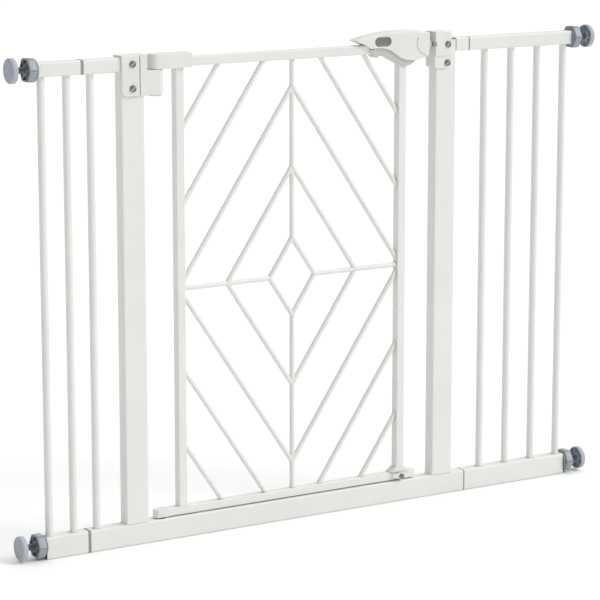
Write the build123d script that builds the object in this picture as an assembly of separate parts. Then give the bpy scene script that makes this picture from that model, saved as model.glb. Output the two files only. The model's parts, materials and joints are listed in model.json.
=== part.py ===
from build123d import *
import os

# Pressure-fit pet gate with a self-closing door.
# Millimetres, +Z up. X runs along the gate, -Y is the front, and the origin is on the floor,
# halfway between the two walls and in the middle of the frame's depth.

# ---------------------------------------------------------------- driving dimensions
HALF_WIDTH = 532.5          # outer face of a wall pad from the middle
FRAME_DEPTH = 22.0
RAIL_HEIGHT = 22.0          # top tubes
BASE_HEIGHT = 35.0          # bottom tubes
RAIL_TOP = 760.0
RAIL_LOW = RAIL_TOP - RAIL_HEIGHT
CORNER = 3.0
WALL = 1.2

TUBE_END = 489.0            # outer end of the extension tubes
LEFT_JOINT = -414.0         # main frame meets the left extension
RIGHT_JOINT = 281.0         # main frame meets the right extension
LEFT_COLLAR = 5.0
RIGHT_COLLAR = 2.5
SPIGOT = 24.0
POST_WIDTH = 40.0
HINGE_POST_X = -352.5
LATCH_POST_X = 217.0
POST_TOP = 757.5
BAR_R = 6.0
LEFT_BARS = (-480.0, -438.5)
STUB_BAR_X = -399.0
RIGHT_BARS = tuple(320.0 + 53.0 * i for i in range(4))

SPINDLE_R = 5.0
SPINDLE_TOP_Z = 749.0
SPINDLE_LOW_Z = 21.5
SPINDLE_INNER = 446.0
SPINDLE_SKIN = 4.0          # pad left between the spindle's end and the wall
PAD_R = 19.0
PAD_THICK = 9.0
NUT_INNER = TUBE_END + 0.4
NUT_OUTER = 505.5
NUT_ACROSS_FLATS = 33.5
NUT_TURN = 0.0              # turn of the hexagon, which stands with two flats level
PLUG_DEEP = 30.0
LOOSE = 0.3                 # gap between pieces that move past each other
RUNNING = 0.05              # radial clearance of a pin in its bore

HINGE_X = -288.0
DOOR_TUBE = 15.0
DOOR_CORNER = 2.0
DOOR_WALL = 1.0
STILE_LEFT = -250.0         # middle of the hinge stile
STILE_RIGHT = 156.0         # middle of the latch stile
DOOR_BASE_Z = 36.5
DOOR_BASE_HEIGHT = 13.0
DOOR_TOP_Z = 741.0          # underside of the door's top rail
DOOR_RAIL_LEFT = -276.0
DOOR_RAIL_RIGHT = 181.0
CAP_END_X = -292.5          # middle of the left end cap's round end
CAP_THICK = 3.0
CAP_SPIGOT = 13.0
SHOE_FOOT = (36.0, 17.0, 3.0)       # width, depth and corner radius
SHOE_COLLAR = (18.5, 16.5, 2.5)
SHOE_HIGH = 8.0
SHOE_LIP = 1.8
PATTERN_Z = 396.5
ROD_R = 4.0
DIAMOND_HEIGHTS = (62.0, 176.0, 303.0)
OUTER_HALF_WIDTH = (STILE_RIGHT - STILE_LEFT) / 2
SLOPE = 1.485
DIAGONAL_STEP = 119.0

PIN_R = 4.0
PIN_COVER = 4.0             # cap left over the lower pin
PIN_COVER_TOP = 8.0         # housing left over the upper pin
BUSH_R = 6.5
KNUCKLE_R = 11.5
KNUCKLE_LOW = 701.0
KNUCKLE_TOP = 738.9
SPRING_ROOM_R = 9.0
HOUSING_LOW = 739.5
HOUSING_TOP = 762.5
HOUSING_RIGHT = -231.0
HOUSING_R = 12.0
BRACKET_TOP = 763.0
BRACKET_FACE = -14.5
BRACKET_BACK = 13.0
BRACKET_SPLIT = -322.0      # groove between the bracket's plate and its arm
ARM_RIGHT = -308.5
SCREW_SHANK_R = 2.4
SCREW_HEAD_R = 5.3
SCREW_HEAD_HIGH = 2.4
SCREW_DOME = 1.4            # rounding of the head
HINGE_SCREWS = ((-334.0, 750.0), (-334.0, 713.0))

PIVOT_X = 196.0
PIVOT_Z = 752.0
BOSS_R = 13.0
TRUNNION_R = 4.0
HANDLE_HALF = 13.0          # half the handle's depth
HANDLE_INSIDE = 10.5
LEVER_EDGE = 4.0            # rounding of the lever's rims
SHELL = 2.6
MOUTH_WALL = 4.0
LEVER_TIP_R = 10.0          # rounding of the lever's tip, seen from above
LEVER_MOUTH = ((63, 764), (74, 760), (88, 753.8), (93.5, 750))
LEVER_LOWER = ((93.5, 750), (118, 749.6), (128, 746.4), (138, 740.4), (148, 733.9), (157, 730.3), (167, 728.6),
               (180, 728.5), (191, 731.3), (203, 736))
LEVER_UPPER = ((204, 771.5), (190, 774.5), (176, 775.9), (150, 776.5), (125, 775.5), (103, 773), (83, 769.4), (63, 764))
CRESCENT = (197.0, 754.0)
CRESCENT_R = (16.6, 20.4)
BASE_MOUTH = ((92.5, 748.8), (94.5, 744), (98.5, 740), (104.3, 735.4))
BASE_SHOULDER = 99.5        # where the lower shell rises into the lever
BASE_LOWER = ((104.3, 735.4), (112, 738.2), (120, 738.0), (131, 733), (143, 726.8), (151, 722.6), (158, 720), (166, 720.4),
              (174, 724.5), (182, 731))
BUTTON_X = 115.0
BUTTON_Z = 760.7
BUTTON_LONG = 30.0
BUTTON_HIGH = 13.8

STRIKE_LEFT = 214.0
STRIKE_RIGHT = 245.0
STRIKE_TOP = 771.5
STRIKE_STEP = 732.0
STRIKE_LOW = 712.5
STRIKE_FACE = -15.0
STRIKE_TONGUE_FACE = -13.5
STRIKE_BACK = 15.0
STRIKE_SCREWS = ((238.0, 751.0), (238.0, 721.0))
BOLT_HALF = 2.8
BOLT_TIP = STRIKE_LEFT + 2.0

STOP_X = 155.0
STOP_Z = 43.0
STOP_R = 6.0
STOP_TIP = (STOP_X - 17.0, STOP_Z + 2.5)
STOP_FRONT = -14.4
STOP_SEAT = -11.6

DOOR_LOW = DOOR_BASE_Z + DOOR_BASE_HEIGHT    # top of the door's bottom rail
DOOR_MID = (STILE_LEFT + STILE_RIGHT) / 2
HALF_DEPTH = FRAME_DEPTH / 2
HALF_TUBE = DOOR_TUBE / 2


# ---------------------------------------------------------------- helpers
def save(name, *solids):
    """Write one node, which may hold several separate solids."""
    shape = solids[0] if len(solids) == 1 else Compound(children=list(solids))
    export_step(shape, f"parts/{name}.step")


def box(x0, x1, y0, y1, z0, z1):
    """Block between two corners."""
    middle = ((x0 + x1) / 2, (y0 + y1) / 2, (z0 + z1) / 2)
    return Pos(*middle) * Box(x1 - x0, y1 - y0, z1 - z0)


def rod_x(x0, x1, z, radius, y=0.0):
    """Round rod along X."""
    plane = Plane(origin=(x0, y, z), x_dir=(0, 1, 0), z_dir=(1, 0, 0))
    return extrude(plane * Circle(radius), amount=x1 - x0)


def rod_y(x, z, y0, y1, radius):
    """Round rod along Y."""
    plane = Plane(origin=(x, y0, z), x_dir=(1, 0, 0), z_dir=(0, 1, 0))
    return extrude(plane * Circle(radius), amount=y1 - y0)


def rod_z(x, y, z0, z1, radius):
    """Round rod along Z."""
    return extrude(Plane.XY.offset(z0) * Pos(x, y) * Circle(radius), amount=z1 - z0)


def ring_section(width, height, corner, wall):
    """Outline of a rectangular tube with rounded corners."""
    hole = RectangleRounded(width - 2 * wall, height - 2 * wall, max(corner - wall, 0.5))
    return RectangleRounded(width, height, corner) - hole


def tube_x(x0, x1, z0, z1, depth, corner=CORNER, wall=WALL):
    """Rectangular tube lying along X."""
    plane = Plane(origin=(x0, 0, (z0 + z1) / 2), x_dir=(0, 1, 0), z_dir=(1, 0, 0))
    return extrude(plane * ring_section(depth, z1 - z0, corner, wall), amount=x1 - x0)


def tube_z(x0, x1, z0, z1, depth, corner=CORNER, wall=WALL):
    """Rectangular tube standing along Z."""
    plane = Plane.XY.offset(z0) * Pos((x0 + x1) / 2, 0)
    return extrude(plane * ring_section(x1 - x0, depth, corner, wall), amount=z1 - z0)


def side_plate(face, y0, y1):
    """Extrude a face drawn in X and Z from y0 to y1."""
    return extrude(Plane(origin=(0, y1, 0), x_dir=(1, 0, 0), z_dir=(0, -1, 0)) * face, amount=y1 - y0)


def coil(place, radius, wire, pitch, height, along):
    """Helical spring with one end at this place."""
    path = Helix(pitch=pitch, height=height, radius=radius)
    start = Plane(origin=path @ 0, z_dir=path % 0)
    spring = sweep(start * Circle(wire), path=path)
    turned = {"z": Rot(0, 0, 0), "y": Rot(-90, 0, 0), "x": Rot(0, 90, 0)}[along]
    return Pos(*place) * turned * spring


# ---------------------------------------------------------------- fixed frame
def main_frame():
    """Base tube, two posts and the short top tubes beside them."""
    base = tube_x(LEFT_JOINT, RIGHT_JOINT, 0, BASE_HEIGHT, FRAME_DEPTH)
    save("bottom_rail", base - rod_z(HINGE_X, 0, BASE_HEIGHT - 5, BASE_HEIGHT + 1, BUSH_R))

    hinge_post = tube_z(HINGE_POST_X, HINGE_POST_X + POST_WIDTH, BASE_HEIGHT, POST_TOP, FRAME_DEPTH)
    latch_post = tube_z(LATCH_POST_X, LATCH_POST_X + POST_WIDTH, BASE_HEIGHT, POST_TOP, FRAME_DEPTH)
    save("hinge_post", hinge_post - screw_holes(HINGE_SCREWS))
    save("latch_post", latch_post - screw_holes(STRIKE_SCREWS))

    save("left_top_stub", tube_x(LEFT_JOINT, HINGE_POST_X, RAIL_LOW, RAIL_TOP, FRAME_DEPTH))
    latch_side = LATCH_POST_X + POST_WIDTH
    save("right_top_stub", tube_x(latch_side, RIGHT_JOINT, RAIL_LOW, RAIL_TOP, FRAME_DEPTH))
    save("stub_bar", round_bar(STUB_BAR_X))


def round_bar(x):
    """Upright round tube between the bottom and top tubes."""
    return rod_z(x, 0, BASE_HEIGHT, RAIL_LOW, BAR_R) - rod_z(x, 0, BASE_HEIGHT, RAIL_LOW, BAR_R - 1)


def connector(joint, side, collar, z0, z1):
    """Plastic joiner: a collar that shows between two tubes and a spigot inside each of them."""
    collar_ends = sorted((joint, joint + side * collar))
    body = tube_x(*collar_ends, z0, z1, FRAME_DEPTH, CORNER, WALL + 1.7)
    gap = WALL + 0.1
    spigot_ends = sorted((joint - side * SPIGOT, joint + side * (collar + SPIGOT)))
    return body + tube_x(*spigot_ends, z0 + gap, z1 - gap, FRAME_DEPTH - 2 * gap, CORNER - WALL, 1.6)


def extensions():
    """The wider panels that are added on each side, with their joiners."""
    levels = {"top": (RAIL_LOW, RAIL_TOP), "bottom": (0.0, BASE_HEIGHT)}
    for level, (z0, z1) in levels.items():
        save(f"left_connector_{level}", connector(LEFT_JOINT, -1, LEFT_COLLAR, z0, z1))
        save(f"right_connector_{level}", connector(RIGHT_JOINT, 1, RIGHT_COLLAR, z0, z1))
        left = tube_x(-TUBE_END, LEFT_JOINT - LEFT_COLLAR, z0, z1, FRAME_DEPTH)
        right = tube_x(RIGHT_JOINT + RIGHT_COLLAR, TUBE_END, z0, z1, FRAME_DEPTH)
        save(f"left_extension_{level}", left)
        save(f"right_extension_{level}", right)
    save("left_extension_bars", *[round_bar(x) for x in LEFT_BARS])
    save("right_extension_bars", *[round_bar(x) for x in RIGHT_BARS])


# ---------------------------------------------------------------- wall adjusters
def end_plug(side, z0, z1, z):
    """Plastic plug in a tube end, which guides the spindle."""
    gap = WALL + 0.05
    x0, x1 = sorted((side * (TUBE_END - PLUG_DEEP), side * TUBE_END))
    plane = Plane(origin=(x0, 0, (z0 + z1) / 2), x_dir=(0, 1, 0), z_dir=(1, 0, 0))
    outline = RectangleRounded(FRAME_DEPTH - 2 * gap, z1 - z0 - 2 * gap, CORNER - WALL)
    return extrude(plane * outline, amount=PLUG_DEEP) - rod_x(x0, x1, z, SPINDLE_R + LOOSE)


def wall_pad(side, z):
    """Round foot with a rim, a hub and six ribs; its outer face presses on the wall."""
    inner = HALF_WIDTH - PAD_THICK
    face = 3.5
    wall = 2.5
    hub_r = 7.5
    rib_half = 0.9
    disc = rod_x(inner, HALF_WIDTH, z, PAD_R)
    disc = fillet(disc.edges().sort_by(Axis.X)[-1], wall)
    hollow = rod_x(inner, HALF_WIDTH - face, z, PAD_R - wall) - rod_x(inner, HALF_WIDTH, z, hub_r)
    rib = box(inner + 1.5, HALF_WIDTH - face + 0.5, -rib_half, rib_half, z + hub_r - 1.5, z + PAD_R - 1)
    axis = Axis((0, 0, z), (1, 0, 0))
    pad = disc - hollow
    for i in range(6):
        pad += rib.rotate(axis, 60 * i)
    pad -= rod_x(inner, HALF_WIDTH - SPINDLE_SKIN, z, SPINDLE_R)
    return mirror_if(pad, side)


def hand_nut(side, z):
    """Hexagonal hand nut with a round skirt, and a face of six pockets between its hub and its rim."""
    skirt = 2.5
    rim = 2.2
    rib = 2.0
    hub_r = 8.0
    deep = 8.0
    corner_r = NUT_ACROSS_FLATS / 3 ** 0.5
    plane = Plane(origin=(NUT_INNER + skirt, 0, z), x_dir=(0, 1, 0), z_dir=(1, 0, 0))
    outline = RegularPolygon(corner_r, 6, rotation=NUT_TURN)
    inside = RegularPolygon(corner_r - rim / (3 ** 0.5 / 2), 6, rotation=NUT_TURN)
    body = extrude(plane * outline, amount=NUT_OUTER - NUT_INNER - skirt)
    body = body & rod_x(NUT_INNER, NUT_OUTER, z, corner_r - 0.6)
    body += rod_x(NUT_INNER, NUT_INNER + skirt + 0.1, z, NUT_ACROSS_FLATS / 2 - 1)
    pockets = extrude(Plane(origin=(NUT_OUTER - deep, 0, z), x_dir=(0, 1, 0), z_dir=(1, 0, 0)) * inside, amount=deep)
    pockets -= rod_x(NUT_INNER, NUT_OUTER, z, hub_r)
    axis = Axis((0, 0, z), (1, 0, 0))
    arm = box(NUT_INNER, NUT_OUTER, 0, corner_r, z - rib / 2, z + rib / 2)
    for i in range(6):
        pockets -= arm.rotate(axis, 60 * i)
    body -= pockets
    body -= rod_x(NUT_INNER - 1, NUT_OUTER + 1, z, SPINDLE_R + LOOSE)
    return mirror_if(body, side)


def mirror_if(shape, side):
    """The right-hand piece, or its mirror image for the left."""
    return shape if side > 0 else mirror(shape, about=Plane.YZ)


def adjusters():
    """Four spindles with their hand nuts, pads and plugs."""
    levels = {"top": (SPINDLE_TOP_Z, RAIL_LOW, RAIL_TOP), "bottom": (SPINDLE_LOW_Z, 0.0, BASE_HEIGHT)}
    for level, (z, z0, z1) in levels.items():
        save(f"end_plugs_{level}", end_plug(-1, z0, z1, z), end_plug(1, z0, z1, z))
        for hand, side in {"left": -1, "right": 1}.items():
            spindle = mirror_if(rod_x(SPINDLE_INNER, HALF_WIDTH - SPINDLE_SKIN, z, SPINDLE_R), side)
            save(f"spindle_{level}_{hand}", spindle)
            save(f"wall_pad_{level}_{hand}", wall_pad(side, z))
            save(f"hand_nut_{level}_{hand}", hand_nut(side, z))


# ---------------------------------------------------------------- door frame and rods
def door_frame():
    """Two stiles between a top and a bottom rail, with the bottom rail's end caps."""
    top = DOOR_TOP_Z + DOOR_TUBE
    low = DOOR_LOW
    for name, x in {"hinge_stile": STILE_LEFT, "latch_stile": STILE_RIGHT}.items():
        stile = tube_z(x - HALF_TUBE, x + HALF_TUBE, low, DOOR_TOP_Z, DOOR_TUBE, DOOR_CORNER, DOOR_WALL)
        save(name, stile)
    left, right = STILE_LEFT - HALF_TUBE, STILE_RIGHT + HALF_TUBE
    save("door_top_rail", tube_x(left, right, DOOR_TOP_Z, top, DOOR_TUBE, DOOR_CORNER, DOOR_WALL))
    bottom = tube_x(DOOR_RAIL_LEFT, DOOR_RAIL_RIGHT, DOOR_BASE_Z, low, DOOR_TUBE, DOOR_CORNER, DOOR_WALL)
    save("door_bottom_rail", bottom - rod_y(STOP_X, STOP_Z, -HALF_DEPTH, 0, SCREW_SHANK_R + 0.1))

    cap = box(CAP_END_X, DOOR_RAIL_LEFT, -HALF_TUBE, HALF_TUBE, DOOR_BASE_Z, low)
    cap += rod_z(CAP_END_X, 0, DOOR_BASE_Z, low, HALF_TUBE)
    cap += cap_spigot(DOOR_RAIL_LEFT - 1, DOOR_RAIL_LEFT + CAP_SPIGOT)
    save("rail_cap_left", cap - rod_z(HINGE_X, 0, DOOR_BASE_Z, low - PIN_COVER, PIN_R))
    end = box(DOOR_RAIL_RIGHT, DOOR_RAIL_RIGHT + CAP_THICK, -HALF_TUBE, HALF_TUBE, DOOR_BASE_Z, low)
    end = fillet(end.edges().filter_by(Axis.X), DOOR_CORNER)
    save("rail_cap_right", end + cap_spigot(DOOR_RAIL_RIGHT - CAP_SPIGOT, DOOR_RAIL_RIGHT + 1))


def cap_spigot(x0, x1):
    """The part of a door rail's end cap that goes into the rail."""
    inside = DOOR_WALL + 0.05
    return tube_x(x0, x1, DOOR_BASE_Z + inside, DOOR_LOW - inside, DOOR_TUBE - 2 * inside, 1.0, 0.8)


def stile_shoe():
    """Flared plastic shoe round the foot of the latch stile, with a thin lip."""
    centre = Pos(STILE_RIGHT, 0)
    foot = Plane.XY.offset(DOOR_LOW) * centre * RectangleRounded(*SHOE_FOOT)
    collar = Plane.XY.offset(DOOR_LOW + SHOE_HIGH) * centre * RectangleRounded(*SHOE_COLLAR)
    lip = Plane.XY.offset(DOOR_LOW) * centre * RectangleRounded(SHOE_FOOT[0] + 1, SHOE_FOOT[1] + 1, SHOE_FOOT[2])
    shoe = loft([foot, collar]) + extrude(lip, amount=SHOE_LIP)
    stile = (STILE_RIGHT - HALF_TUBE, STILE_RIGHT + HALF_TUBE)
    save("stile_shoe", shoe - box(*stile, -HALF_TUBE, HALF_TUBE, DOOR_LOW, DOOR_LOW + SHOE_HIGH))


def slanted(height, right, up):
    """One leg of the rod pattern, which crosses the door's middle line at this height from the centre."""
    x_sign = 1 if right else -1
    z_sign = 1 if up else -1
    overrun = 40.0
    run = OUTER_HALF_WIDTH + overrun
    start = (DOOR_MID - x_sign * overrun, 0, PATTERN_Z + z_sign * (height + SLOPE * overrun))
    end = (DOOR_MID + x_sign * run, 0, PATTERN_Z + z_sign * (height - SLOPE * run))
    line = Vector(*end) - Vector(*start)
    plane = Plane(origin=start, x_dir=(0, 1, 0), z_dir=line.normalized())
    return extrude(plane * Circle(ROD_R), amount=line.length)


def quadrant(right, up):
    """Block that bounds a quarter of the door's opening."""
    low, high = DOOR_LOW, DOOR_TOP_Z
    x0, x1 = (DOOR_MID, STILE_RIGHT - HALF_TUBE) if right else (STILE_LEFT + HALF_TUBE, DOOR_MID)
    z0, z1 = (PATTERN_Z, high) if up else (low, PATTERN_Z)
    return box(x0, x1, -10, 10, z0, z1)


def straight_rods(reach, radius):
    """The rods on the door's middle lines, which stop at the inner diamond's corners or reach past them."""
    up = DIAMOND_HEIGHTS[0] - reach
    out = DIAMOND_HEIGHTS[0] / SLOPE - reach
    uprights = (
        rod_z(DOOR_MID, 0, PATTERN_Z + up, DOOR_TOP_Z, radius),
        rod_z(DOOR_MID, 0, DOOR_LOW, PATTERN_Z - up, radius),
    )
    crossbars = (
        rod_x(STILE_LEFT + HALF_TUBE, DOOR_MID - out, PATTERN_Z, radius),
        rod_x(DOOR_MID + out, STILE_RIGHT - HALF_TUBE, PATTERN_Z, radius),
    )
    return uprights, crossbars


def door_rods():
    """Nested diamonds, the diagonals beside them and the straight rods through their middle."""
    uprights, crossbars = straight_rods(0, ROD_R)
    upright_cuts, crossbar_cuts = straight_rods(0.6, ROD_R + 0.03)
    outer = DIAMOND_HEIGHTS[2]
    heights = DIAMOND_HEIGHTS + (outer + DIAGONAL_STEP, outer + 2 * DIAGONAL_STEP)
    for right in (False, True):
        for up in (False, True):
            room = quadrant(right, up)
            cuts = (upright_cuts[0 if up else 1], crossbar_cuts[1 if right else 0])
            legs = [(slanted(height, right, up) & room) - cuts[0] - cuts[1] for height in heights]
            name = f"rods_{'upper' if up else 'lower'}_{'right' if right else 'left'}"
            save(name, *[leg.solid() for leg in legs])
    save("centre_rods", *uprights)
    save("cross_rods", *crossbars)


# ---------------------------------------------------------------- hinges
def screw_holes(places):
    """Clearance holes through the front wall of a post and the bracket on it."""
    holes = [rod_y(x, z, -20, 0, SCREW_SHANK_R + 0.1) for x, z in places]
    return holes[0] + holes[1]


def pan_screw(x, z, face, radius=SCREW_HEAD_R, length=10.0):
    """Screw with a low domed head and a slot, whose head rests on the plane y = face."""
    slot_half = 0.6
    slot_floor = 1.3
    slot_turn = 40.0
    head = rod_y(x, z, face - SCREW_HEAD_HIGH, face, radius)
    head = fillet(head.edges().sort_by(Axis.Y)[0], SCREW_DOME)
    slot = box(x - radius, x + radius, face - SCREW_HEAD_HIGH - 1, face - slot_floor, z - slot_half, z + slot_half)
    head -= slot.rotate(Axis((x, 0, z), (0, 1, 0)), slot_turn)
    return head + rod_y(x, z, face - 0.5, face + length, SCREW_SHANK_R)


def hinge_bracket():
    """Bracket on the hinge post: a raised plate, an arm beside it and the knuckle with its bush."""
    edge = 1.5
    plate = box(HINGE_POST_X, BRACKET_SPLIT, BRACKET_FACE, BRACKET_BACK, KNUCKLE_LOW, BRACKET_TOP)
    plate = fillet(plate.edges().filter_by(Axis.Y).sort_by(lambda e: e.center().X + e.center().Z)[0], 9)
    plate = fillet(plate.faces().sort_by(Axis.Y)[0].edges(), edge)
    arm = box(BRACKET_SPLIT - 0.5, ARM_RIGHT, BRACKET_FACE + edge, BRACKET_BACK, KNUCKLE_LOW, BRACKET_TOP)
    web = box(ARM_RIGHT - 0.5, HINGE_X, -KNUCKLE_R, KNUCKLE_R, KNUCKLE_LOW, KNUCKLE_TOP)
    knuckle = rod_z(HINGE_X, 0, KNUCKLE_LOW, KNUCKLE_TOP, KNUCKLE_R) + web
    bush = rod_z(HINGE_X, 0, KNUCKLE_LOW - 2.5, KNUCKLE_LOW, KNUCKLE_R - 1.5)
    bracket = plate + arm + knuckle + bush
    bracket -= box(HINGE_POST_X - 1, HINGE_POST_X + POST_WIDTH, -HALF_DEPTH, 20, KNUCKLE_LOW - 1, POST_TOP)
    bracket -= rod_z(HINGE_X, 0, KNUCKLE_LOW - 3, KNUCKLE_TOP + 1, PIN_R + RUNNING)
    bracket -= rod_z(HINGE_X, 0, KNUCKLE_LOW + 1, KNUCKLE_TOP - 6, SPRING_ROOM_R)
    bracket -= box(-400, HINGE_POST_X, -30, 30, RAIL_LOW, RAIL_TOP)
    save("hinge_bracket", bracket - screw_holes(HINGE_SCREWS))
    save("closer_spring", coil((HINGE_X, 0, KNUCKLE_LOW + 4), 6.6, 0.8, 2.6, 23.4, "z"))


def hinge_housing():
    """The door's half of the hinge: a rounded housing over the end of the top rail, with its pins and bush."""
    housing = box(HINGE_X, HOUSING_RIGHT, -HOUSING_R, HOUSING_R, HOUSING_LOW, HOUSING_TOP)
    housing += rod_z(HINGE_X, 0, HOUSING_LOW, HOUSING_TOP, HOUSING_R)
    housing = fillet(housing.faces().sort_by(Axis.Z)[-1].edges(), 2)
    top = DOOR_TOP_Z + DOOR_TUBE
    housing -= box(STILE_LEFT - HALF_TUBE, -200, -HALF_TUBE, HALF_TUBE, DOOR_TOP_Z, top)
    stile_x = (STILE_LEFT - HALF_TUBE, STILE_LEFT + HALF_TUBE)
    housing -= box(stile_x[0], stile_x[1], -HALF_TUBE, HALF_TUBE, HOUSING_LOW - 1, DOOR_TOP_Z)
    save("hinge_housing", housing - rod_z(HINGE_X, 0, HOUSING_LOW - 1, HOUSING_TOP - PIN_COVER_TOP, PIN_R))
    save("top_hinge_pin", rod_z(HINGE_X, 0, KNUCKLE_LOW - 1, HOUSING_TOP - PIN_COVER_TOP, PIN_R))

    bush = rod_z(HINGE_X, 0, BASE_HEIGHT - 8, BASE_HEIGHT, BUSH_R) + rod_z(HINGE_X, 0, BASE_HEIGHT, BASE_HEIGHT + 1.1, 9)
    save("bottom_hinge_bush", bush - rod_z(HINGE_X, 0, 0, 60, PIN_R + RUNNING))
    save("bottom_hinge_pin", rod_z(HINGE_X, 0, BASE_HEIGHT - 12, DOOR_LOW - PIN_COVER, PIN_R))


# ---------------------------------------------------------------- latch
def lever_face():
    """Side view of the lever's outer shell."""
    edges = Spline(*LEVER_LOWER) + Line(LEVER_LOWER[-1], LEVER_UPPER[0]) + Spline(*LEVER_UPPER) + Spline(*LEVER_MOUTH)
    return make_face(edges)


def lever_room():
    """Side view of the space inside the lever, which is open below and at the right."""
    upper = [(x + MOUTH_WALL, z - SHELL) for x, z in LEVER_UPPER[::-1] if x > 80]
    mouth = [(x + MOUTH_WALL, z) for x, z in LEVER_MOUTH[1:]]
    far = (upper[-1][0] + 20, upper[-1][1])
    low = (mouth[-1][0], 700)
    edges = Polyline(mouth[0], upper[0], *upper[1:], far, (far[0], low[1]), low, mouth[-1]) + Spline(*mouth[::-1])
    return make_face(edges)


def top_rims(shell):
    """The front and back rims of the lever's top."""
    sides = shell.faces().sort_by(Axis.Y)
    return [side.edges().sort_by(Axis.Z)[-1] for side in (sides[0], sides[-1])]


def lever_plan():
    """Block that rounds the lever's tip as seen from above."""
    tip = LEVER_UPPER[-1][0]
    length = 200.0
    outline = Pos(tip + length / 2, 0) * RectangleRounded(length, 2 * HANDLE_HALF, LEVER_TIP_R)
    return extrude(Plane.XY.offset(700) * outline, amount=100)


def latch_lever():
    """Upper shell of the handle with its button."""
    lever = side_plate(lever_face(), -HANDLE_HALF, HANDLE_HALF)
    lever = fillet(top_rims(lever), LEVER_EDGE) & lever_plan()
    lever -= side_plate(lever_room(), -HANDLE_INSIDE, HANDLE_INSIDE)
    lever -= rod_y(PIVOT_X, PIVOT_Z, -HANDLE_HALF + 0.9, HANDLE_HALF - 0.9, TRUNNION_R + RUNNING)
    lever -= box(50, 110, -HALF_TUBE - LOOSE, HALF_TUBE + LOOSE, 700, DOOR_TOP_Z + DOOR_TUBE + LOOSE)
    lever -= side_plate(button_face(LOOSE), -HANDLE_HALF - 1, -HANDLE_INSIDE)
    lever -= crescent()
    save("latch_lever", lever.solid())

    button_back = -HANDLE_INSIDE
    button = side_plate(button_face(0), -HANDLE_HALF - 1.0, button_back)
    spring_z = BUTTON_Z - 3
    save("latch_button", button - rod_y(BUTTON_X, spring_z, button_back - 2, button_back, 3.0))
    save("button_spring", coil((BUTTON_X, button_back - 1.5, spring_z), 2.2, 0.35, 1.2, 3.6, "y"))


def crescent():
    """Curved groove in the lever's front, part of a ring round the boss."""
    x, z = CRESCENT
    inner, outer = CRESCENT_R
    ring = rod_y(x, z, -HANDLE_HALF - 1, -HANDLE_HALF + 1.0, outer) - rod_y(x, z, -20, 20, inner)
    return ring & side_plate(make_face(Polyline((x, z), (x - 24, z + 15), (x - 24, z - 24), (x - 3, z - 24), (x, z))), -20, 20)


def latch_base():
    """Lower shell of the handle, fixed to the door, with the boss and the trunnions that the lever turns on."""
    top = DOOR_TOP_Z + DOOR_TUBE
    half = HANDLE_INSIDE - LOOSE
    corner = (PIVOT_X - 12, PIVOT_Z)
    outline = Spline(*BASE_MOUTH) + Spline(*BASE_LOWER)
    shoulder = ((BASE_SHOULDER, top + 1.2), (BASE_SHOULDER, BASE_MOUTH[0][1]))
    outline += Polyline(BASE_LOWER[-1], corner, (corner[0], top + 1.2), *shoulder, BASE_MOUTH[0])
    base = side_plate(make_face(outline), -half, half)
    base += rod_y(PIVOT_X, PIVOT_Z, -half, half, BOSS_R)
    base += rod_y(PIVOT_X, PIVOT_Z, -HANDLE_HALF + 1, HANDLE_HALF - 1, TRUNNION_R)
    base -= box(60, STILE_RIGHT + HALF_TUBE, -HALF_TUBE, HALF_TUBE, DOOR_TOP_Z, top)
    base -= box(STILE_RIGHT - HALF_TUBE, STILE_RIGHT + HALF_TUBE, -HALF_TUBE, HALF_TUBE, 700, DOOR_TOP_Z)
    grown = (BUTTON_LONG / 2 + 2, BUTTON_HIGH / 2 + 2)
    base -= box(BUTTON_X - grown[0], BUTTON_X + grown[0], -HANDLE_INSIDE, -HALF_TUBE, BUTTON_Z - grown[1], top + 2)
    slot = BOLT_HALF + LOOSE
    base -= box(PIVOT_X - 26, PIVOT_X + 20, -slot, slot, PIVOT_Z - slot, PIVOT_Z + slot)
    save("latch_base", base.solid())

    bolt = box(PIVOT_X - 16, BOLT_TIP, -BOLT_HALF, BOLT_HALF, PIVOT_Z - BOLT_HALF, PIVOT_Z + BOLT_HALF)
    save("latch_bolt", chamfer(bolt.faces().sort_by(Axis.X)[-1].edges().filter_by(Axis.Z), 1.5))
    save("bolt_spring", coil((PIVOT_X - 25.5, 0, PIVOT_Z), 2.2, 0.35, 1.3, 7.8, "x"))


def button_face(gap):
    """Oval of the push button."""
    return Pos(BUTTON_X, BUTTON_Z) * SlotOverall(BUTTON_LONG + 2 * gap, BUTTON_HIGH + 2 * gap)


def strike():
    """Bracket round the latch post with the notch that the bolt drops into."""
    upper = box(STRIKE_LEFT, STRIKE_RIGHT + 1, STRIKE_FACE, STRIKE_BACK, STRIKE_STEP, STRIKE_TOP)
    upper = fillet(upper.edges().filter_by(Axis.Y).sort_by(lambda e: e.center().X + e.center().Z)[-1], 4)
    upper = fillet(upper.faces().sort_by(Axis.Y)[0].edges(), 1.2)
    lower = box(STRIKE_LEFT, STRIKE_RIGHT, STRIKE_TONGUE_FACE, STRIKE_BACK - 1, STRIKE_LOW, STRIKE_STEP + 3)
    lower = fillet(lower.edges().filter_by(Axis.Y).sort_by(Axis.Z)[:2], 5)
    bracket = upper + lower
    bracket -= box(LATCH_POST_X, 300, -HALF_DEPTH, 30, 700, POST_TOP)
    notch = BOLT_HALF + 0.8
    bracket -= box(STRIKE_LEFT - 1, BOLT_TIP + 0.5, -20, 20, PIVOT_Z - notch, PIVOT_Z + notch)
    save("strike_bracket", bracket - screw_holes(STRIKE_SCREWS))


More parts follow.
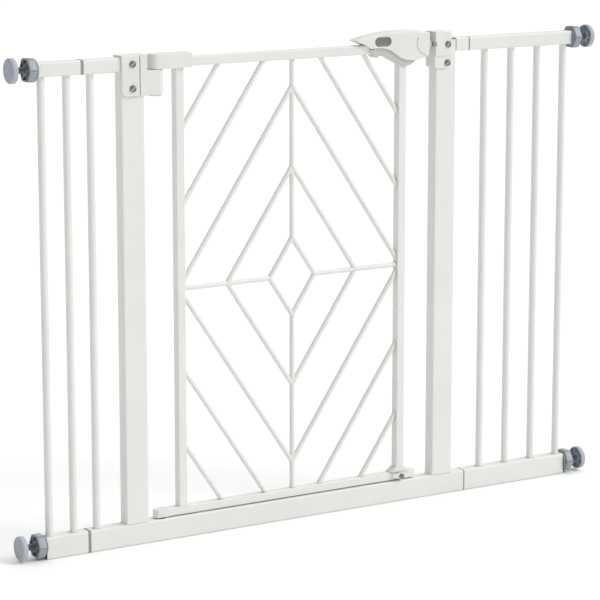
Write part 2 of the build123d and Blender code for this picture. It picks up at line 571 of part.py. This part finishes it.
def screws_and_stop():
    """Bracket screws, and the turning tab that keeps the door from swinging both ways."""
    faces = [(x, z, BRACKET_FACE) for x, z in HINGE_SCREWS]
    faces += [(*place, face) for place, face in zip(STRIKE_SCREWS, (STRIKE_FACE, STRIKE_TONGUE_FACE))]
    save("bracket_screws", *[pan_screw(x, z, face) for x, z, face in faces])

    x, z = STOP_TIP
    blunt = 1.6
    wing = Polyline((STOP_X, STOP_Z + STOP_R), (x, z + blunt), (x, z - blunt), (STOP_X, STOP_Z - STOP_R),
                    (STOP_X, STOP_Z + STOP_R))
    tab = side_plate(make_face(wing), STOP_FRONT, STOP_SEAT)
    tab += rod_y(STOP_X, STOP_Z, STOP_FRONT, -HALF_TUBE - LOOSE, STOP_R)
    save("stop_tab", tab - rod_y(STOP_X, STOP_Z, -20, 0, SCREW_SHANK_R + 0.1))
    save("stop_screw", pan_screw(STOP_X, STOP_Z, STOP_FRONT - LOOSE, 4.5, 12.0))


os.makedirs("parts", exist_ok=True)
main_frame()
extensions()
adjusters()
door_frame()
stile_shoe()
door_rods()
hinge_bracket()
hinge_housing()
latch_lever()
latch_base()
strike()
screws_and_stop()
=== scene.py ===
import json
import math
from random import Random

import bmesh
import bpy
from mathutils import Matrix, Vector


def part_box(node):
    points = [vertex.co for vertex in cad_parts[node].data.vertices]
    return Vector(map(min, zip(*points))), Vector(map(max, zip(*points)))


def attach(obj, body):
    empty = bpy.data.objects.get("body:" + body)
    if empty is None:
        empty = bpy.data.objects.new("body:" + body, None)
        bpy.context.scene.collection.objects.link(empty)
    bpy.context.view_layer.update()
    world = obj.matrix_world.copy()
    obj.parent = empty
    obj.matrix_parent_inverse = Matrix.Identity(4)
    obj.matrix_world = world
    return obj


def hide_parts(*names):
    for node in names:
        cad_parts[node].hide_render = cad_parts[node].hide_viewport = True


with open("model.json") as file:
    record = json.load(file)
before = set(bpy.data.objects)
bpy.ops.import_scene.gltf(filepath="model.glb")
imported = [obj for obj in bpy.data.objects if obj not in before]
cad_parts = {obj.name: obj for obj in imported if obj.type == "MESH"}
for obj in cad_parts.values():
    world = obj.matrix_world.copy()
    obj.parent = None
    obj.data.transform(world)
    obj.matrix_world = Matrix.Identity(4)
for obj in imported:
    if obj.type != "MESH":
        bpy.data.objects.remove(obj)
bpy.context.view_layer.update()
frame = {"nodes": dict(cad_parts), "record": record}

# ---------------------------------------------------------------- sizes, in metres
MM = 0.001
CORNERS = [(level, hand) for level in ("top", "bottom") for hand in ("left", "right")]
THREAD_PITCH = 1.5 * MM
THREAD_DEPTH = 0.7 * MM
THREAD_SEGMENTS = 28            # vertices round the rod
THREAD_STEPS = 4                # rings of them in one pitch
ROD_R = 4 * MM
BAR_R = 6 * MM
PATTERN_Z = 396.5 * MM          # middle of the rod pattern
SLOPE = 1.485                   # of the slanted rods
DIAMONDS = (62 * MM, 176 * MM, 303 * MM)        # half heights of the nested diamonds
DIAGONALS = (303 * MM, 422 * MM, 541 * MM)      # where the slanted rods' lines meet the middle one
PAINTED_SHADE_NODES = {"latch_base": "painted_shade_plastic"}      # the latch base takes a darker copy of the white plastic: painted shade under the lever's overhang
# Bracket screws: place across, height, and depth of the head's face.
HINGE_SCREWS = ((-334 * MM, 750 * MM, -14.5 * MM), (-334 * MM, 713 * MM, -14.5 * MM))
STRIKE_SCREWS = ((238 * MM, 751 * MM, -15 * MM), (238 * MM, 721 * MM, -13.5 * MM))
SCREW_TURN = math.radians(40)
BRACKET_JOINT = -321.2 * MM     # place across of the joint in the hinge bracket
NUT_FLATS = 33.5 * MM           # across a hand nut's flats
PANEL = (5.9 * MM, 8.6 * MM)    # half sizes of a nut's grip panel
PAD_EDGE = 3.0 * MM             # rounding of a pad's rim
PAD_TEETH = 60
PAD_RING_STEP = 2.6 * MM
PAD_RING_DEPTH = 0.45 * MM
BEAD = 1.0 * MM                 # width of the welds where slanted rods and crossbars end
BUTTON_WALL = 1.2 * MM
random = Random(7)


# ---------------------------------------------------------------- camera, light and floor
SKY = 0.62                      # brightness of the surroundings, level
SIDE_GRADIENT = 0.32            # brighter towards the gate's right
UP_GRADIENT = 0.26              # and towards the zenith


def make_camera():
    """Camera at the product picture's angle: left of the gate's middle and a little above it."""
    target = Vector((-0.032, 0, 0.356))
    azimuth = math.radians(-31.2)
    elevation = math.radians(11.27)
    distance = 4.114
    flat = math.cos(elevation)
    back = Vector((math.sin(azimuth) * flat, -math.cos(azimuth) * flat, math.sin(elevation)))
    data = bpy.data.cameras.new("camera")
    data.lens = 155
    data.clip_start = 0.1
    data.clip_end = 200
    camera = bpy.data.objects.new("camera", data)
    camera.location = target + back * distance
    camera.rotation_euler = (math.pi / 2 - elevation, 0, azimuth)
    bpy.context.collection.objects.link(camera)
    bpy.context.scene.camera = camera


def soft_sun(name, place, strength, spread):
    """Even light from the direction of a place, soft over a spread in degrees."""
    data = bpy.data.lights.new(name, "SUN")
    data.energy = strength
    data.angle = math.radians(spread)
    lamp = bpy.data.objects.new(name, data)
    lamp.rotation_mode = "QUATERNION"
    lamp.rotation_quaternion = (-Vector(place)).to_track_quat("-Z", "Y")
    bpy.context.collection.objects.link(lamp)


def multiply_add(tree, value, factor, addend):
    """value * factor + addend, where the addend is a number or another value."""
    node = tree.nodes.new("ShaderNodeMath")
    node.operation = "MULTIPLY_ADD"
    tree.links.new(value, node.inputs[0])
    node.inputs[1].default_value = factor
    if isinstance(addend, float):
        node.inputs[2].default_value = addend
    else:
        tree.links.new(addend, node.inputs[2])
    return node.outputs["Value"]


def make_world():
    """White surroundings, brighter above and on the gate's right."""
    world = bpy.data.worlds.new("studio")
    world.use_nodes = True
    tree = world.node_tree
    split = tree.nodes.new("ShaderNodeSeparateXYZ")
    tree.links.new(tree.nodes.new("ShaderNodeTexCoord").outputs["Generated"], split.inputs["Vector"])
    level = multiply_add(tree, split.outputs["X"], SIDE_GRADIENT, SKY)
    strength = multiply_add(tree, split.outputs["Z"], UP_GRADIENT, level)
    background = tree.nodes["Background"]
    background.inputs["Color"].default_value = (1, 1, 1, 1)
    tree.links.new(strength, background.inputs["Strength"])
    bpy.context.scene.world = world


def make_studio():
    """White surroundings, two soft lights and a pale floor."""
    make_world()
    bpy.context.scene.view_settings.view_transform = "Standard"
    soft_sun("key", (0.55, -0.52, 0.66), 1.15, 22)
    soft_sun("top", (0.1, 0.25, 1.0), 0.3, 60)
    bm = bmesh.new()
    bmesh.ops.create_grid(bm, x_segments=24, y_segments=24, size=40)
    floor = finished("floor", bm, floor_material())


# ---------------------------------------------------------------- materials
def nodes_of(name):
    """New material with its node tree, its shader and the object's own coordinates."""
    material = bpy.data.materials.new(name)
    material.use_nodes = True
    tree = material.node_tree
    shader = tree.nodes["Principled BSDF"]
    coordinates = tree.nodes.new("ShaderNodeTexCoord").outputs["Object"]
    return material, tree, shader, coordinates


def noise(tree, coordinates, scale, detail=2.0, roughness=0.5):
    """Noise value at a scale in features per metre."""
    node = tree.nodes.new("ShaderNodeTexNoise")
    node.inputs["Scale"].default_value = scale
    node.inputs["Detail"].default_value = detail
    node.inputs["Roughness"].default_value = roughness
    tree.links.new(coordinates, node.inputs["Vector"])
    return node.outputs["Fac"]


def ramp(tree, value, low, high, dark, light):
    """Colour between two, as a value goes from low to high."""
    node = tree.nodes.new("ShaderNodeValToRGB")
    node.color_ramp.elements[0].position = low
    node.color_ramp.elements[0].color = (*dark, 1)
    node.color_ramp.elements[1].position = high
    node.color_ramp.elements[1].color = (*light, 1)
    tree.links.new(value, node.inputs["Fac"])
    return node.outputs["Color"]


def spread(tree, value, low, high):
    """Value mapped from 0..1 to low..high."""
    node = tree.nodes.new("ShaderNodeMapRange")
    node.inputs["To Min"].default_value = low
    node.inputs["To Max"].default_value = high
    tree.links.new(value, node.inputs["Value"])
    return node.outputs["Result"]


def bump(tree, shader, heights, edge=0.7 * MM):
    """Softly rounded edges, and bump from several (height, strength, distance) layers, coarse first."""
    rounded = tree.nodes.new("ShaderNodeBevel")
    rounded.samples = 4
    rounded.inputs["Radius"].default_value = edge
    normal = rounded.outputs["Normal"]
    for height, strength, distance in heights:
        node = tree.nodes.new("ShaderNodeBump")
        node.inputs["Strength"].default_value = strength
        node.inputs["Distance"].default_value = distance
        tree.links.new(height, node.inputs["Height"])
        tree.links.new(normal, node.inputs["Normal"])
        normal = node.outputs["Normal"]
    tree.links.new(normal, shader.inputs["Normal"])


def shaded(colour, value):
    """Colour made lighter or darker by a factor."""
    return tuple(min(1.0, part * value) for part in colour)


def coated_material(name, colour):
    """Powder coat: satin, with fine orange peel and a little unevenness in colour and gloss."""
    material, tree, shader, place = nodes_of(name)
    cloud = noise(tree, place, 9, 3)
    tint = ramp(tree, cloud, 0.3, 0.7, shaded(colour, 0.97), shaded(colour, 1.02))
    tree.links.new(tint, shader.inputs["Base Color"])
    tree.links.new(spread(tree, noise(tree, place, 60, 4), 0.36, 0.5), shader.inputs["Roughness"])
    peel = noise(tree, place, 650, 2)
    grain = noise(tree, place, 2600, 1)
    bump(tree, shader, ((peel, 0.22, 0.0004), (grain, 0.1, 0.0001)))
    shader.inputs["Coat Weight"].default_value = 0.15
    shader.inputs["Coat Roughness"].default_value = 0.3
    return material


def plastic_material(name, colour, rough=(0.42, 0.58), grain_scale=3200, grain_depth=0.12):
    """Moulded plastic: fine spark grain, flow clouds and soft gloss."""
    material, tree, shader, place = nodes_of(name)
    cloud = noise(tree, place, 22, 4)
    tint = ramp(tree, cloud, 0.3, 0.75, shaded(colour, 0.94), shaded(colour, 1.03))
    tree.links.new(tint, shader.inputs["Base Color"])
    tree.links.new(spread(tree, noise(tree, place, 140, 3), *rough), shader.inputs["Roughness"])
    flow = noise(tree, place, 500, 2)
    grain = noise(tree, place, grain_scale, 2)
    bump(tree, shader, ((flow, 0.08, 0.0002), (grain, grain_depth, 0.0001)))
    shader.inputs["IOR"].default_value = 1.46
    return material


def steel_material(name, colour, rough=(0.28, 0.5), brushed=(1, 1, 1)):
    """Plated or turned steel: streaks along the turning and darker spots."""
    material, tree, shader, place = nodes_of(name)
    mapping = tree.nodes.new("ShaderNodeMapping")
    mapping.inputs["Scale"].default_value = brushed
    tree.links.new(place, mapping.inputs["Vector"])
    streaks = noise(tree, mapping.outputs["Vector"], 900, 3)
    spots = noise(tree, place, 120, 4)
    tint = ramp(tree, spots, 0.35, 0.7, shaded(colour, 0.75), shaded(colour, 1.1))
    tree.links.new(tint, shader.inputs["Base Color"])
    tree.links.new(spread(tree, streaks, *rough), shader.inputs["Roughness"])
    bump(tree, shader, ((streaks, 0.15, 0.0001),))
    shader.inputs["Metallic"].default_value = 1.0
    return material


def floor_material():
    """Pale matt floor with the faintest mottling."""
    material, tree, shader, place = nodes_of("pale_floor")
    cloud = noise(tree, place, 1.5, 3)
    tint = ramp(tree, cloud, 0.3, 0.7, (0.95, 0.95, 0.95), (0.97, 0.97, 0.97))
    tree.links.new(tint, shader.inputs["Base Color"])
    shader.inputs["Roughness"].default_value = 0.9
    return material


def make_materials():
    """One material for each slot of the record, and a few for single pieces."""
    return {
        "white_coat": coated_material("white_coat", (0.725, 0.735, 0.70)),
        "white_plastic": plastic_material("white_plastic", (0.72, 0.727, 0.695)),
        # Darker copy of the white plastic, for the latch base: painted shade under the lever's overhang.
        "painted_shade_plastic": plastic_material("painted_shade_plastic", (0.52, 0.525, 0.50)),
        "pad_grey": plastic_material("pad_grey", (0.41, 0.44, 0.49), (0.6, 0.75)),
        "nut_grey": plastic_material("nut_grey", (0.22, 0.25, 0.27)),
        # Lighter than the nut's body, so the grooves between the panels read dark: partly painted shade.
        "grip_grey": plastic_material("grip_grey", (0.30, 0.33, 0.36), (0.3, 0.45)),
        "joiner_grey": plastic_material("joiner_grey", (0.25, 0.28, 0.27)),
        "inner_plastic": plastic_material("inner_plastic", (0.05, 0.05, 0.05)),
        # Dark grey for the strip in the hinge bracket's joint: painted shadow.
        "painted_shadow_grey": plastic_material("painted_shadow_grey", (0.22, 0.225, 0.215)),
        "button_grey": plastic_material("button_grey", (0.17, 0.17, 0.18), (0.35, 0.5)),
        "spindle_steel": steel_material("spindle_steel", (0.16, 0.18, 0.20)),
        "screw_steel": steel_material("screw_steel", (0.24, 0.24, 0.23)),
        # Bright steel for the bars on the bracket screws: painted highlight.
        "painted_highlight_steel": steel_material("painted_highlight_steel", (0.62, 0.62, 0.60)),
        "pin_steel": steel_material("pin_steel", (0.55, 0.55, 0.55), (0.2, 0.35), (0.1, 0.1, 4)),
        "spring_steel": steel_material("spring_steel", (0.45, 0.45, 0.45)),
    }


# ---------------------------------------------------------------- mesh helpers
def finished(name, bm, material, sharp_angle=32):
    """Object from a bmesh, smooth except at its sharp edges."""
    bmesh.ops.recalc_face_normals(bm, faces=bm.faces)
    limit = math.radians(sharp_angle)
    for edge in bm.edges:
        edge.smooth = len(edge.link_faces) == 2 and edge.calc_face_angle(0) < limit
    for face in bm.faces:
        face.smooth = True
    mesh = bpy.data.meshes.new(name)
    bm.to_mesh(mesh)
    bm.free()
    mesh.materials.append(material)
    piece = bpy.data.objects.new(name, mesh)
    bpy.context.collection.objects.link(piece)
    return piece


def dress(nodes, materials):
    """Give each CAD node the material of its slot in the record; the latch base instead gets a darker copy
    of the white plastic, as painted shade under the lever.
    """
    for row in frame["record"]["subparts"]:
        piece = nodes[row["node"]]
        for slot in piece.material_slots:
            # The latch base takes the darker plastic here: painted shade.
            slot.material = materials[PAINTED_SHADE_NODES.get(row["node"], row["material_slot"])]


# ---------------------------------------------------------------- pieces built here
def keep(piece, body):
    """Let a piece move with its body."""
    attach(piece, body)
    return piece


def loop_faces(bm, first, second):
    """Band of faces between two closed loops of vertices."""
    count = len(first)
    for i in range(count):
        j = (i + 1) % count
        bm.faces.new((first[i], first[j], second[j], second[i]))


def closed_loft(bm, loops):
    """Solid through a row of closed loops of vertices, with a flat face at each end."""
    for first, second in zip(loops, loops[1:]):
        loop_faces(bm, first, second)
    bm.faces.new(loops[0])
    bm.faces.new(loops[-1])


def turned(bm, profile, centre, side, segments, waves=lambda r, angle: 0.0):
    """Solid of revolution about X.

    The profile lists (distance along, radius). waves(radius, angle) moves points along the axis.
    """
    loops = []
    for along, radius in profile:
        loop = []
        for i in range(segments):
            angle = 2 * math.pi * i / segments
            x = centre.x + side * (along + waves(radius, angle))
            y = centre.y + radius * math.cos(angle)
            z = centre.z + radius * math.sin(angle)
            loop.append(bm.verts.new((x, y, z)))
        loops.append(loop)
    closed_loft(bm, loops)


def spindle(level, hand):
    """Threaded rod with a real helical thread."""
    name = f"spindle_{level}_{hand}"
    low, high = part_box(name)
    radius = (high.z - low.z) / 2
    steps = round((high.x - low.x) / (THREAD_PITCH / THREAD_STEPS))
    bm = bmesh.new()
    loops = []
    for k in range(steps + 1):
        x = low.x + (high.x - low.x) * k / steps
        loop = []
        for i in range(THREAD_SEGMENTS):
            phase = (x / THREAD_PITCH - i / THREAD_SEGMENTS) % 1
            r = radius - THREAD_DEPTH * abs(2 * phase - 1)
            angle = 2 * math.pi * i / THREAD_SEGMENTS
            loop.append(bm.verts.new((x, r * math.cos(angle), (low.z + high.z) / 2 + r * math.sin(angle))))
        loops.append(loop)
    closed_loft(bm, loops)
    piece = finished(f"thread_{level}_{hand}", bm, materials["spindle_steel"], 60)
    keep(piece, f"foot_{level}_{hand}")
    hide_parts(name)


def pad(level, hand):
    """Soft wall pad: a rounded disc with rings and fine teeth on its outer face, and a ribbed back."""
    name = f"wall_pad_{level}_{hand}"
    low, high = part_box(name)
    side = -1 if hand == "left" else 1
    radius = (high.z - low.z) / 2
    inner = min(abs(low.x), abs(high.x))
    thick = high.x - low.x
    centre = Vector((side * inner, 0, (low.z + high.z) / 2))
    boss = [(thick - 5 * MM, 5 * MM), (0.4 * MM, 5.2 * MM), (0, 5.6 * MM), (0, 7 * MM),
            (0.4 * MM, 7.4 * MM), (thick - 4 * MM, 7.6 * MM)]
    web = [(thick - 3.6 * MM, 8.2 * MM), (thick - 3.6 * MM, radius - 3.2 * MM)]
    wall = [(thick - 4 * MM, radius - 2.7 * MM), (0.5 * MM, radius - 2.4 * MM), (0, radius - 1.9 * MM),
            (0, radius - 0.8 * MM), (0.25 * MM, radius - 0.25 * MM), (0.8 * MM, radius)]
    profile = boss + web + wall
    for i in range(9):
        turn = math.pi / 2 * i / 8
        along = thick - PAD_EDGE + PAD_EDGE * math.sin(turn)
        profile.append((along, radius - PAD_EDGE + PAD_EDGE * math.cos(turn)))
    ring = radius - PAD_EDGE - 0.4 * MM
    groove = thick - PAD_RING_DEPTH
    while ring > 3 * MM:
        profile += [(thick, ring + 0.5 * MM), (groove, ring),
                    (groove, ring - 0.5 * MM), (thick, ring - 1.0 * MM)]
        ring -= PAD_RING_STEP

    def teeth(r, angle):
        """Fine notches round the pad, only near its rim."""
        if not radius - 3.2 * MM < r < radius - 0.3 * MM:
            return 0.0
        return -0.35 * MM * (0.5 + 0.5 * math.cos(PAD_TEETH * angle))

    bm = bmesh.new()
    turned(bm, profile, centre, side, 288, teeth)
    for i in range(6):
        rib(bm, centre, side, math.pi / 3 * i, (7.4 * MM, radius - 2.3 * MM), (1.5 * MM, thick - 3.4 * MM))
    piece = finished(f"pad_{level}_{hand}", bm, materials["pad_grey"], 28)
    keep(piece, f"foot_{level}_{hand}")
    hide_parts(name)


def rib(bm, centre, side, angle, reach, along):
    """Tapered rib of a pad, with a chamfered crest."""
    out = Vector((0, math.cos(angle), math.sin(angle)))
    across = Vector((0, -math.sin(angle), math.cos(angle)))
    crest, root = along
    shoulder = crest + 0.4 * MM
    section = ((root, 1.1), (shoulder, 0.8), (crest, 0.45), (crest, -0.45), (shoulder, -0.8), (root, -1.1))
    loops = []
    for r in reach:
        base = centre + out * r
        loops.append([bm.verts.new(base + Vector((side * x, 0, 0)) + across * w * MM) for x, w in section])
    closed_loft(bm, loops)


def nut_panels(level, hand):
    """Raised grip panels on the six flanks of a hand nut, a lighter grey than its body, with grooves
    between them where the body's darker grey shows: partly the nut's own colour, partly painted shade at
    the facet edges.
    """
    name = f"hand_nut_{level}_{hand}"
    low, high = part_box(name)
    side = -1 if hand == "left" else 1
    outer = max(abs(low.x), abs(high.x))
    centre = Vector((side * (outer - 6.6 * MM), 0, (low.z + high.z) / 2))
    bm = bmesh.new()
    for i in range(6):
        angle = math.pi / 6 + math.pi / 3 * i
        out = Vector((0, math.cos(angle), math.sin(angle)))
        across = Vector((0, -math.sin(angle), math.cos(angle)))
        flank = centre + out * (NUT_FLATS / 2 - 0.3 * MM)
        plate(bm, flank, Vector((1, 0, 0)), across, out, PANEL, 1.1 * MM)
    piece = finished(f"grips_{level}_{hand}", bm, materials["grip_grey"], 20)
    keep(piece, f"nut_{level}_{hand}")


def plate(bm, centre, along, across, out, half, high, corner=1.6 * MM):
    """Rounded rectangular plate with a sloped rim, standing on a surface."""
    rim = ((0, 0), (corner * 0.1, high * 0.6), (corner * 0.3, high * 0.95), (corner * 0.6, high))
    loops = []
    for inset, level in rim:
        loop = []
        for quarter in range(4):
            sx = (1, -1, -1, 1)[quarter]
            sy = (1, 1, -1, -1)[quarter]
            for step in range(4):
                turn = math.pi / 2 * (quarter + step / 3)
                x = sx * (half[0] - corner) + (corner - inset) * math.cos(turn)
                y = sy * (half[1] - corner) + (corner - inset) * math.sin(turn)
                loop.append(bm.verts.new(centre + along * x + across * y + out * level))
        loops.append(loop)
    closed_loft(bm, loops)


def weld(bm, foot, axis, normal, radius, width):
    """Bead of weld round a rod where it stands on a flat face, slanted or square."""
    axis = axis.normalized()
    side = axis.orthogonal().normalized()
    other = axis.cross(side)
    segments = 28
    phase = random.uniform(0, 6)
    rows = [[], [], [], []]
    for i in range(segments):
        angle = 2 * math.pi * i / segments
        radial = side * math.cos(angle) + other * math.sin(angle)
        slide = -(radial.dot(normal)) * radius / axis.dot(normal)
        ring = foot + radial * radius + axis * slide
        flat = (radial - normal * radial.dot(normal)).normalized()
        swell = width * (1 + 0.16 * math.sin(5 * angle + phase) + 0.07 * math.sin(11 * angle + 2 * phase))
        rows[0].append(bm.verts.new(ring + flat * swell + normal * 0.02 * MM))
        rows[1].append(bm.verts.new(ring + flat * swell * 0.35 + axis * swell * 0.35))
        rows[2].append(bm.verts.new(ring + axis * swell + radial * 0.02 * MM))
        rows[3].append(bm.verts.new(ring - radial * 0.5 * MM + axis * swell * 0.3))
    for k in range(4):
        loop_faces(bm, rows[k], rows[(k + 1) % 4])


def nodule(bm, place, radius):
    """Lump of weld that fills the corner where slanted rods meet a straight one."""
    made = bmesh.ops.create_icosphere(bm, subdivisions=3, radius=radius)
    phase = random.uniform(0, 6)
    for vert in made["verts"]:
        d = vert.co.normalized()
        vert.co *= 1 + 0.05 * math.sin(5 * d.x + 7 * d.z + phase) + 0.03 * math.sin(11 * d.y + phase)
        vert.co += place


def bar_welds():
    """Welds at both ends of the upright bars."""
    up, down = Vector((0, 0, 1)), Vector((0, 0, -1))
    for node, count in (("stub_bar", 1), ("left_extension_bars", 2), ("right_extension_bars", 4)):
        low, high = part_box(node)
        first, last = low.x + BAR_R, high.x - BAR_R
        bm = bmesh.new()
        for i in range(count):
            x = first + (last - first) * i / max(1, count - 1)
            weld(bm, Vector((x, 0, low.z)), up, up, BAR_R, 1.3 * MM)
            weld(bm, Vector((x, 0, high.z)), down, down, BAR_R, 1.1 * MM)
        keep(finished(f"welds_{node}", bm, materials["white_coat"], 50), "frame")


def rod_welds():
    """Welds at the ends of the door's rods."""
    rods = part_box("centre_rods")
    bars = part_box("cross_rods")
    middle = (rods[0].x + rods[1].x) / 2
    bm = bmesh.new()
    for up in (-1, 1):
        end = (rods[0].z if up < 0 else rods[1].z) - PATTERN_Z
        rail = Vector((0, 0, -up))
        weld(bm, Vector((middle, 0, PATTERN_Z + end)), rail, rail, ROD_R, 1.1 * MM)
        for right in (-1, 1):
            reach = abs((bars[0].x if right < 0 else bars[1].x) - middle)
            wall = Vector((-right, 0, 0))
            for height in DIAGONALS:
                z = height - SLOPE * reach
                leg = Vector((-right, 0, up * SLOPE))
                weld(bm, Vector((middle + right * reach, 0, PATTERN_Z + up * z)), leg, wall, ROD_R, BEAD)
                out = (height - abs(end)) / SLOPE
                if out > 0:
                    foot = Vector((middle + right * out, 0, PATTERN_Z + end))
                    weld(bm, foot, -leg, rail, ROD_R, BEAD)
    for right in (-1, 1):
        x = bars[0].x if right < 0 else bars[1].x
        wall = Vector((-right, 0, 0))
        weld(bm, Vector((x, 0, PATTERN_Z)), wall, wall, ROD_R, BEAD)
        for height in DIAMONDS[:2]:
            nodule(bm, Vector((middle + right * height / SLOPE, 0, PATTERN_Z)), ROD_R * 1.14)
    for up in (-1, 1):
        for height in DIAMONDS:
            nodule(bm, Vector((middle, 0, PATTERN_Z + up * height)), ROD_R * 1.14)
    keep(finished("welds_rods", bm, materials["white_coat"], 50), "door")


def seam(bm, start, end, first, second, size):
    """Straight bead of weld in the corner between two faces, which look along first and second."""
    steps = 14
    loops = []
    for k in range(steps + 1):
        place = start.lerp(end, k / steps)
        swell = size * (1 + 0.14 * math.sin(2.1 * k + start.x * 900)) * (0.5 if k in (0, steps) else 1)
        loops.append([bm.verts.new(place + first * a * swell + second * b * swell)
                      for a, b in ((-0.2, -0.2), (1, -0.05), (0.42, 0.42), (-0.05, 1))])
    closed_loft(bm, loops)


def tube_seams():
    """Welds across the depth where posts and stiles stand on their rails."""
    up, down = Vector((0, 0, 1)), Vector((0, 0, -1))
    # Node, body, half depth, size of the bead, and whether the node's foot has welds.
    rows = (("hinge_post", "frame", 10 * MM, 1.6 * MM, True),
            ("latch_post", "frame", 10 * MM, 1.6 * MM, True),
            ("hinge_stile", "door", 6.4 * MM, 1.1 * MM, True),
            ("latch_stile", "door", 6.4 * MM, 1.1 * MM, False))
    for node, body, half, size, foot in rows:
        low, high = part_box(node)
        bm = bmesh.new()
        for x, out in ((low.x, -1), (high.x, 1)):
            sideways = Vector((out, 0, 0))
            if foot:
                seam(bm, Vector((x, -half, low.z)), Vector((x, half, low.z)), sideways, up, size)
            if body == "door" and not (node == "hinge_stile" and out < 0):
                seam(bm, Vector((x, -half, high.z)), Vector((x, half, high.z)), sideways, down, size)
        keep(finished(f"seams_{node}", bm, materials["white_coat"], 50), body)


def button():
    """Oval push button with a dished front, a rounded rim and a hollow back for its spring."""
    low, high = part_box("latch_button")
    centre = (low + high) / 2
    end_r = (high.z - low.z) / 2
    straight = (high.x - low.x) / 2 - end_r
    hollow = ((BUTTON_WALL, low.y + 1.55 * MM), (BUTTON_WALL, high.y))
    side = ((0, high.y), (0, low.y + 0.9 * MM))
    rim = ((0.25 * MM, low.y + 0.25 * MM), (0.9 * MM, low.y), (1.6 * MM, low.y + 0.25 * MM))
    dish = ((2.4 * MM, low.y + 0.7 * MM), (3.8 * MM, low.y + 1.0 * MM), (5.2 * MM, low.y + 1.1 * MM))
    rings = hollow + side + rim + dish      # (distance in from the outline, place in depth)
    bm = bmesh.new()
    loops = []
    for inset, y in rings:
        loop = []
        for i in range(64):
            angle = 2 * math.pi * (i + 0.5) / 64
            shift = straight if math.cos(angle) > 0 else -straight
            r = end_r - inset
            x = centre.x + shift + r * math.cos(angle)
            loop.append(bm.verts.new((x, y, centre.z + r * math.sin(angle))))
        loops.append(loop)
    closed_loft(bm, loops)
    piece = finished("button_oval", bm, materials["button_grey"], 30)
    keep(piece, "button")
    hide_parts("latch_button")


def screw_slot_highlights():
    """Bright steel bars across the bracket screws' heads, along their slots: painted highlight for the
    glint on the slot walls.
    """
    bm = bmesh.new()
    along = Vector((math.cos(SCREW_TURN), 0, math.sin(SCREW_TURN)))
    across = Vector((-math.sin(SCREW_TURN), 0, math.cos(SCREW_TURN)))
    for x, z, face in HINGE_SCREWS + STRIKE_SCREWS:
        centre = Vector((x, face - 1.3 * MM, z))
        plate(bm, centre, along, across, Vector((0, -1, 0)), (4.2 * MM, 0.9 * MM), 1.15 * MM, 0.5 * MM)
    # The bright bars stand for the glint in the screw slots: painted highlight.
    keep(finished("screw_slot_highlights", bm, materials["painted_highlight_steel"], 20), "frame")


def bracket_painted_shadow():
    """Dark grey strip in the joint between the hinge bracket's plate and its arm: painted shadow for the
    shade in the groove there.
    """
    low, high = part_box("hinge_bracket")
    bm = bmesh.new()
    start = Vector((BRACKET_JOINT, -13 * MM, low.z + 2.6 * MM))
    end = Vector((BRACKET_JOINT, -13 * MM, high.z - 0.8 * MM))
    seam(bm, start, end, Vector((1, 0, 0)), Vector((0, -1, 0)), 1.0 * MM)
    keep(finished("bracket_painted_shadow", bm, materials["painted_shadow_grey"], 40), "frame")


# ---------------------------------------------------------------- the gate
materials = make_materials()
dress(frame["nodes"], materials)
for level, hand in CORNERS:
    spindle(level, hand)
    pad(level, hand)
    nut_panels(level, hand)
bar_welds()
rod_welds()
tube_seams()
button()
screw_slot_highlights()
bracket_painted_shadow()
make_camera()
make_studio()
